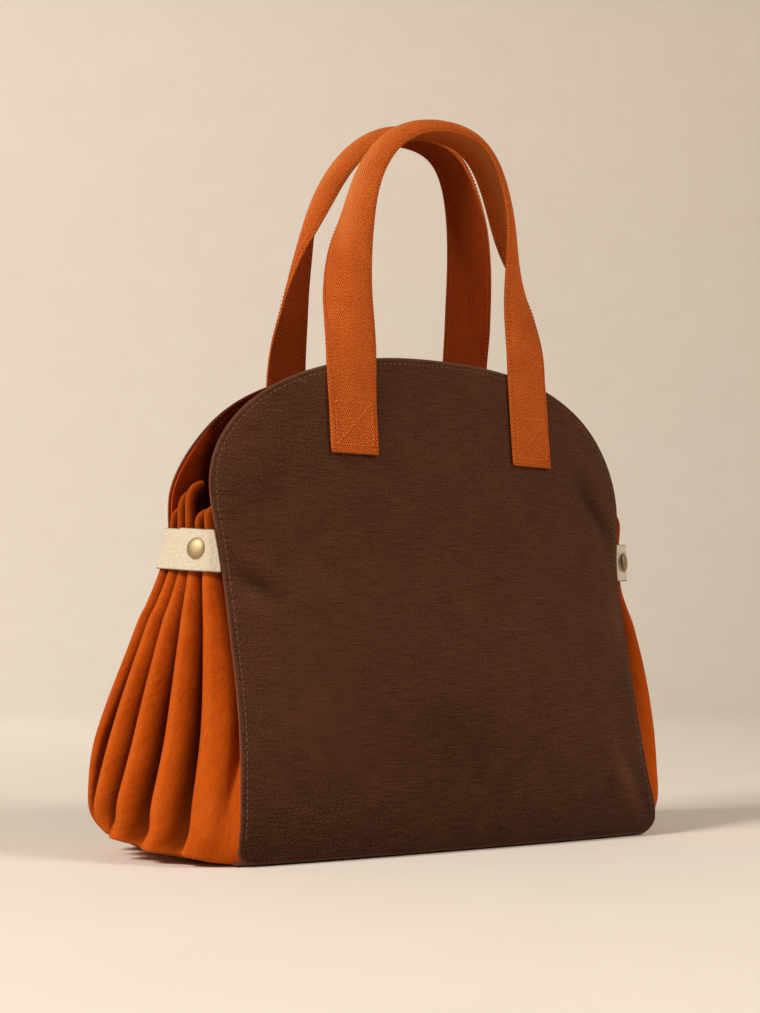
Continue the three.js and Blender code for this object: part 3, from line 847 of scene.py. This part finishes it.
def tab_points(side, u, z, out):
    """Points on a tab's tape, from the front seam (0) round the folds to the back seam (1)."""
    step = 0.01
    along = tab_middle(side, np.minimum(1, u + step), z) - tab_middle(side, np.maximum(0, u - step), z)
    up = tab_middle(side, u, z + 0.001) - tab_middle(side, u, z - 0.001)
    normals = unit(np.cross(up, along)) * -OUTWARD[side]
    return tab_middle(side, u, z) + np.asarray(out)[..., None] * normals, normals


TAPE_CREAM = tint(222, 211, 192)
TAPE_SHADE = tint(168, 154, 132)
TAPE_EDGE_SHADE = tint(118, 102, 80)
TAPE_ZIGZAG = 0.005
TAPE_PITCH = 0.0018

tape_finish, tape_shader, flat_cloth, mark = cloth_finish(
    "cream_tape", Roughness=0.9, Specular_IOR_Level=0.15)
zigzag = flat_cloth.part("Y")
zigzag = zigzag.math("PINGPONG", zigzag, TAPE_ZIGZAG)
chevron = (flat_cloth.part("X") + zigzag * 0.8).wave(TAPE_PITCH)
fine = flat_cloth.noise(500.0, 2.0)
tape_colour = (chevron * 0.16 + fine * 1.0 + 0.08).between(TAPE_SHADE, TAPE_CREAM)
# Painted shade: every edge of the tape is coloured darker, which makes the step where the front length
# laps the back one show as a line.
tape_edge_shade = mark("turned") * (1 - mark("turned")) * 4.0
tape_colour = tape_edge_shade.between(tape_colour, TAPE_EDGE_SHADE)
dress(tape_shader, Base_Color=tape_colour, Normal=(chevron * 0.00009 + fine * 0.0003).bump())

climb = np.linspace(0, 1, TAB_ROWS + 1)[:, None]
reach = np.linspace(0, 1, TAB_COLUMNS + 1)[None, :]
for side in ("left", "right"):
    for half in ("front", "back"):
        z = TAB_LOW + (TAB_HIGH - TAB_LOW) * climb + 0 * reach
        if half == "front":
            u = reach * np.interp(z, (TAB_LOW, TAB_HIGH), TAB_FRONT_END)
            out = TAB_LAP * ease(u, 0, TAB_LAP_END)
        else:
            u = np.broadcast_to(TAB_BACK_START + (1 - TAB_BACK_START) * reach, z.shape)
            out = np.zeros_like(u)
            z = z - TAB_BACK_DROP * climb
        grid, _ = tab_points(side, u, z, out)
        steps = np.linalg.norm(np.diff(grid, axis=1), axis=-1)
        run = np.concatenate([0 * climb, np.cumsum(steps, axis=1)], axis=1)
        weave = np.stack([run, z - TAB_LOW], -1)
        if side == "left":
            grid, weave = grid[:, ::-1], weave[:, ::-1]
        tab = cloth_wall(f"{side}_{half}_tape", grid, weave, TAB_THICKNESS, 6)
        tab.data.materials.append(tape_finish)
        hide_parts(f"{side}_tab_{half}")


# Snaps: pressed antique-brass caps with a rolled ring, riveted through both lengths of tape into a
# round back. Each cap leans a little, because the tape gives under it.
SNAP_AT = {"left": 0.172, "right": 0.048}
SNAP_LEAN = {"left": 0.25, "right": -0.2}
SNAP_Z = 0.2068
SNAP_PROFILE = [
    # radius, height above the tape
    (0.0000, -0.0064), (0.0046, -0.0064), (0.0050, -0.0060), (0.0050, -0.0051), (0.0024, -0.0050),
    (0.0024, 0.0005), (0.0066, 0.0005), (0.0071, 0.0007), (0.0073, 0.0010), (0.0072, 0.0013),
    (0.0070, 0.0014), (0.0068, 0.0015), (0.0066, 0.0016), (0.0062, 0.0018), (0.0055, 0.0021),
    (0.0044, 0.0024), (0.0030, 0.0026), (0.0015, 0.0027), (0.0000, 0.0027),
]
SNAP_SIDES = 48
BRASS_SHADE = tint(146, 126, 92)
BRASS_PALE = tint(176, 156, 120)

brass, brass_shader, place = new_finish("antique_brass", Metallic=1.0)
tarnish = place.noise(420.0, 3.0)
brass_colour = tarnish.between(BRASS_SHADE, BRASS_PALE)
dress(brass_shader, Base_Color=brass_colour, Roughness=tarnish * 0.2 + 0.42)

for side in ("left", "right"):
    tape_face = np.array([TAB_LAP + TAB_THICKNESS / 2])
    spot, normal = tab_points(side, np.array([SNAP_AT[side]]), np.array([SNAP_Z]), tape_face)
    axis = unit(normal[0] - np.array([0, SNAP_LEAN[side], 0]))
    across = unit(np.cross(axis, [0, 0, 1]))
    upward = np.cross(across, axis)
    points = []
    for radius, height in SNAP_PROFILE:
        for turn in np.arange(SNAP_SIDES) * 2 * math.pi / SNAP_SIDES:
            spoke = math.cos(turn) * across + math.sin(turn) * upward
            points.append(spot[0] + axis * height + radius * spoke)
    faces = []
    for a in range(len(SNAP_PROFILE) - 1):
        for b in range(SNAP_SIDES):
            c = (b + 1) % SNAP_SIDES
            low = a * SNAP_SIDES
            faces.append((low + c, low + b, low + SNAP_SIDES + b, low + SNAP_SIDES + c))
    snap = add_piece(f"{side}_brass_snap", points, faces)
    snap.data.materials.append(brass)
    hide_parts(f"{side}_snap")


# Handles: loops of rust herringbone webbing, sewn flat on the panels, then turned edge-on and cupped
# where they stand up to the grip. The right legs hang flatter than the left ones.
STRAP_WIDTH = 0.0360
STRAP_THICKNESS = 0.0024
STRAP_END_Z = 0.278
STRAP_FREE_Z = 0.314
ARCH_START_Z = 0.390
RIM_Z = 0.345
STRAP_BEND = [
    # share of the climb above the sewn end, then the strap's turn in degrees and how far it is cupped:
    # first on both left legs, then on the front right leg, then on the back right leg
    (0.00, 0, 0, 0, 0, 0, 0),
    (0.07, 3, 8, 0, 4, 3, 6),
    (0.14, 8, 20, 1, 10, 8, 14),
    (0.22, 14, 40, 4, 20, 14, 26),
    (0.31, 23, 64, 10, 40, 22, 40),
    (0.40, 32, 88, 20, 64, 29, 54),
    (0.53, 50, 120, 48, 110, 37, 76),
    (0.59, 62, 134, 62, 128, 42, 88),
    (0.69, 79, 145, 79, 145, 52, 106),
    (0.79, 86, 148, 86, 148, 66, 124),
    (1.00, 90, 146, 90, 146, 90, 146),
]
HANDLES = {
    # left leg, right leg, top, sway of the top, lean towards the other handle, fullness of the left
    # and right shoulders
    "front": (-0.0785, 0.082, 0.5345, 0.016, 0.017, 0.66, 0.75),
    "back": (-0.076, 0.091, 0.547, 0.028, 0.017, 0.58, 0.80),
}
bend_climbs, *bend_columns = zip(*STRAP_BEND)
bend_curves = [curve_through(bend_climbs, np.radians(column)) for column in bend_columns]
left_bend = bend_curves[0:2]
right_bend = {"front": bend_curves[2:4], "back": bend_curves[4:6]}
STRAP_ROWS = 300
STRAP_COLUMNS = 18
STRAP_GAP = 0.0008
STRAP_STAND_OFF = PANEL_THICKNESS / 2 + STRAP_GAP + STRAP_THICKNESS / 2
LEG_STEPS = 200
ARCH_STEPS = 400


def bezier(points, count):
    """Smooth curve from the first point to the last, led by the two between them."""
    a, b, c, d = np.array(points)
    t = np.linspace(0, 1, count)[:, None]
    return (1 - t) ** 3 * a + 3 * t * (1 - t) ** 2 * b + 3 * t ** 2 * (1 - t) * c + t ** 3 * d


def handle_line(side):
    """Line of a handle seen from the front, from one sewn end over the arch to the other."""
    left, right, top, sway, _, full_left, full_right = HANDLES[side]
    lift_left = ARCH_START_Z + (top - ARCH_START_Z) * full_left
    lift_right = ARCH_START_Z + (top - ARCH_START_Z) * full_right
    out_left = sway + (left - sway) * full_left
    out_right = sway + (right - sway) * full_right
    left_start = (left, ARCH_START_Z)
    right_start = (right, ARCH_START_Z)
    line = np.concatenate([
        np.linspace((left, STRAP_END_Z), left_start, LEG_STEPS)[:-1],
        bezier([left_start, (left, lift_left), (out_left, top), (sway, top)], ARCH_STEPS)[:-1],
        bezier([(sway, top), (out_right, top), (right, lift_right), right_start], ARCH_STEPS)[:-1],
        np.linspace(right_start, (right, STRAP_END_Z), LEG_STEPS),
    ])
    run = np.concatenate([[0], np.cumsum(np.linalg.norm(np.diff(line, axis=0), axis=1))])
    even = np.linspace(0, run[-1], STRAP_ROWS + 1)
    return np.stack([np.interp(even, run, line[:, 0]), np.interp(even, run, line[:, 1])], -1), even


WEB_RUST = tint(222, 111, 42)
WEB_DEEP = tint(130, 42, 5)
WEB_GRIP_WORN_AND_LIT = tint(216, 130, 68)
WEB_UNDER_SHADE = tint(136, 46, 8)
WEB_SHEEN = tint(240, 130, 50)
WEB_UNDER_SHADE_STRENGTH = {"front": 0.15, "back": 1.0}
RIB_PITCH = 0.0027
RIB_TURN = 0.0092
WEFT_PITCH = 0.0016

webbing, webbing_shader, flat_cloth, mark = cloth_finish(
    "herringbone_webbing", Roughness=0.9, Specular_IOR_Level=0.08,
    Sheen_Weight=0.05, Sheen_Tint=WEB_SHEEN)
cloth_x = flat_cloth.part("X")
zigzag = cloth_x.math("PINGPONG", cloth_x + 0.0005, RIB_TURN)
rib = (flat_cloth.part("Y") + zigzag * 1.7).wave(RIB_PITCH)
weft = flat_cloth.part("Y").wave(WEFT_PITCH)
wear = flat_cloth.noise(40.0, 3.0)
fine = flat_cloth.noise(650.0, 2.0)
# Partly wear and partly painted highlight: the top of each arch, where the hand holds it, is coloured
# paler and its ribs show less.
rubbed = mark("rubbed")
# Painted shade: the strap's inner face is coloured darker, fully on the back handle and only a little on
# the front one.
under = mark("turned").rise(0.5, 0.9)
web_tone = rib * (0.5 - rubbed * 0.2) + weft * 0.25 + wear * 0.6 + fine * 1.5 - 0.42
web_colour = web_tone.between(WEB_DEEP, WEB_RUST)
web_colour = (rubbed * 0.7).between(web_colour, WEB_GRIP_WORN_AND_LIT)
web_colour = (under * mark("unworn") * (1.1 - fine * 0.5)).between(web_colour, WEB_UNDER_SHADE)
web_relief = rib * 0.0003 + weft * 0.00012 + fine * 0.0003
dress(webbing_shader, Base_Color=web_colour, Normal=web_relief.bump())

strap_grids = {}
for side in ("front", "back"):
    _, _, top, _, inward, _, _ = HANDLES[side]
    line, run = handle_line(side)
    tangent = unit(np.gradient(line, axis=0))
    x, z = line[:, :1], line[:, 1:]
    climb = np.clip((z - STRAP_FREE_Z) / (top - STRAP_FREE_Z), 0, 1)
    past_top = np.arange(STRAP_ROWS + 1)[:, None] > z.argmax()
    turn, cup = [
        np.where(past_top, on_right(climb), on_left(climb))
        for on_left, on_right in zip(left_bend, right_bend[side])
    ]
    cup = np.maximum(0.001, cup)
    flat = np.zeros_like(tangent[:, 0])
    along = np.stack([tangent[:, 0], flat, tangent[:, 1]], -1)
    outward = np.stack([-tangent[:, 1], flat, tangent[:, 0]], -1)
    normal = outward * np.sin(turn) + np.array([0, FACING[side], 0]) * np.cos(turn)
    across = np.cross(along, normal)
    u = np.linspace(-0.5, 0.5, STRAP_COLUMNS + 1)[None, :]
    radius = STRAP_WIDTH / cup
    chord = radius * np.sin(cup / 2)
    lifted = chord * np.sin(turn) + radius * (1 - np.cos(cup / 2)) * np.cos(turn)
    lifted = 0.4 * lifted * (1 - ease(climb, 0.12, 0.35)) - inward * ease(climb, 0.1, 1.0)
    offset = u * STRAP_WIDTH * np.sign(across[:, :1])
    low = np.broadcast_to(np.minimum(z, RIM_Z), offset.shape)
    wall, _ = panel_wall(side, x + offset, low, np.full_like(offset, STRAP_STAND_OFF))
    free = ease(climb, 0.05, 0.3)
    bow = wall[..., 1] * (1 - free) + wall[:, STRAP_COLUMNS // 2, None, 1] * free
    grid = np.stack(np.broadcast_arrays(x, bow + FACING[side] * lifted, z), -1)
    grid = grid + across[:, None, :] * (radius * np.sin(u * cup))[..., None]
    grid = grid + normal[:, None, :] * (radius * (np.cos(u * cup) - 1))[..., None]
    weave = np.stack(np.broadcast_arrays(u * STRAP_WIDTH, run[:, None]), -1)
    if np.dot(grid_normals(grid)[STRAP_ROWS // 2, STRAP_COLUMNS // 2], [0, 0, 1]) < 0:
        grid, weave = grid[:, ::-1], weave[:, ::-1]
    # Partly grip wear and partly painted highlight on the top of each arch.
    grip = ease(climb, 0.4, 0.8) * np.exp(-((u + 0.08) / 0.22) ** 2)
    # Painted shade: how strongly each handle's inner face is darkened.
    unworn = np.full(grid.shape[:2], WEB_UNDER_SHADE_STRENGTH[side])
    strap_marks = {"rubbed": grip, "unworn": unworn}
    handle = cloth_wall(f"{side}_webbing", grid, weave, STRAP_THICKNESS, 6, 0.0, strap_marks)
    handle.data.materials.append(webbing)
    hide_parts(f"{side}_handle")
    strap_grids[side] = grid


# Handle stitching: rust thread along both edges of the webbing, close to the selvage, and a crossed box
# in paler thread that sews each end to its panel.
EDGE_STITCH_INSET = 0.0014
EDGE_PITCH = 0.0030
EDGE_STITCH = 0.0022
STRAP_THREAD = 0.0008
BOX_LOW = STRAP_END_Z + 0.0045
BOX_HIGH = BOX_LOW + 0.031
BOX_HALF = STRAP_WIDTH / 2 - 0.0034
BOX_STEPS = 40
BOX_WAYS = [
    ((-BOX_HALF, BOX_LOW), (BOX_HALF, BOX_LOW)),
    ((BOX_HALF, BOX_LOW), (BOX_HALF, BOX_HIGH)),
    ((BOX_HALF, BOX_HIGH), (-BOX_HALF, BOX_HIGH)),
    ((-BOX_HALF, BOX_HIGH), (-BOX_HALF, BOX_LOW)),
    ((-BOX_HALF, BOX_LOW), (BOX_HALF, BOX_HIGH)),
    ((BOX_HALF, BOX_LOW), (-BOX_HALF, BOX_HIGH)),
]

edge_thread = thread_finish("edge_thread", tint(136, 52, 12), tint(184, 86, 32))
box_thread = thread_finish("box_thread", tint(190, 92, 32), tint(226, 126, 54))

for side in ("front", "back"):
    grid = strap_grids[side]
    normals = grid_normals(grid)
    columns = EDGE_STITCH_INSET / STRAP_WIDTH * STRAP_COLUMNS
    edge_runs = []
    for column in (columns, STRAP_COLUMNS - columns):
        low = int(column)
        part = column - low
        line = grid[:, low] * (1 - part) + grid[:, low + 1] * part
        line_normals = unit(normals[:, low] * (1 - part) + normals[:, low + 1] * part)
        for face in (1, -1):
            raised = line + face * STRAP_THICKNESS / 2 * line_normals
            run = thread_grains(raised, face * line_normals, EDGE_PITCH, EDGE_STITCH, STRAP_THREAD)
            edge_runs.append(run)
    box_runs = []
    for leg in HANDLES[side][:2]:
        for start, end in BOX_WAYS:
            way = np.linspace(start, end, BOX_STEPS)
            out = np.full(BOX_STEPS, STRAP_STAND_OFF + STRAP_THICKNESS / 2)
            points, line_normals = panel_wall(side, leg + way[:, 0], way[:, 1], out)
            run = thread_grains(points, line_normals, EDGE_PITCH, EDGE_STITCH, STRAP_THREAD)
            box_runs.append(run)
    for part_name, runs, thread in (("edge", edge_runs, edge_thread), ("box", box_runs, box_thread)):
        stitches = add_threads(f"{side}_handle_{part_name}_stitching", runs)
        stitches.data.materials.append(thread)
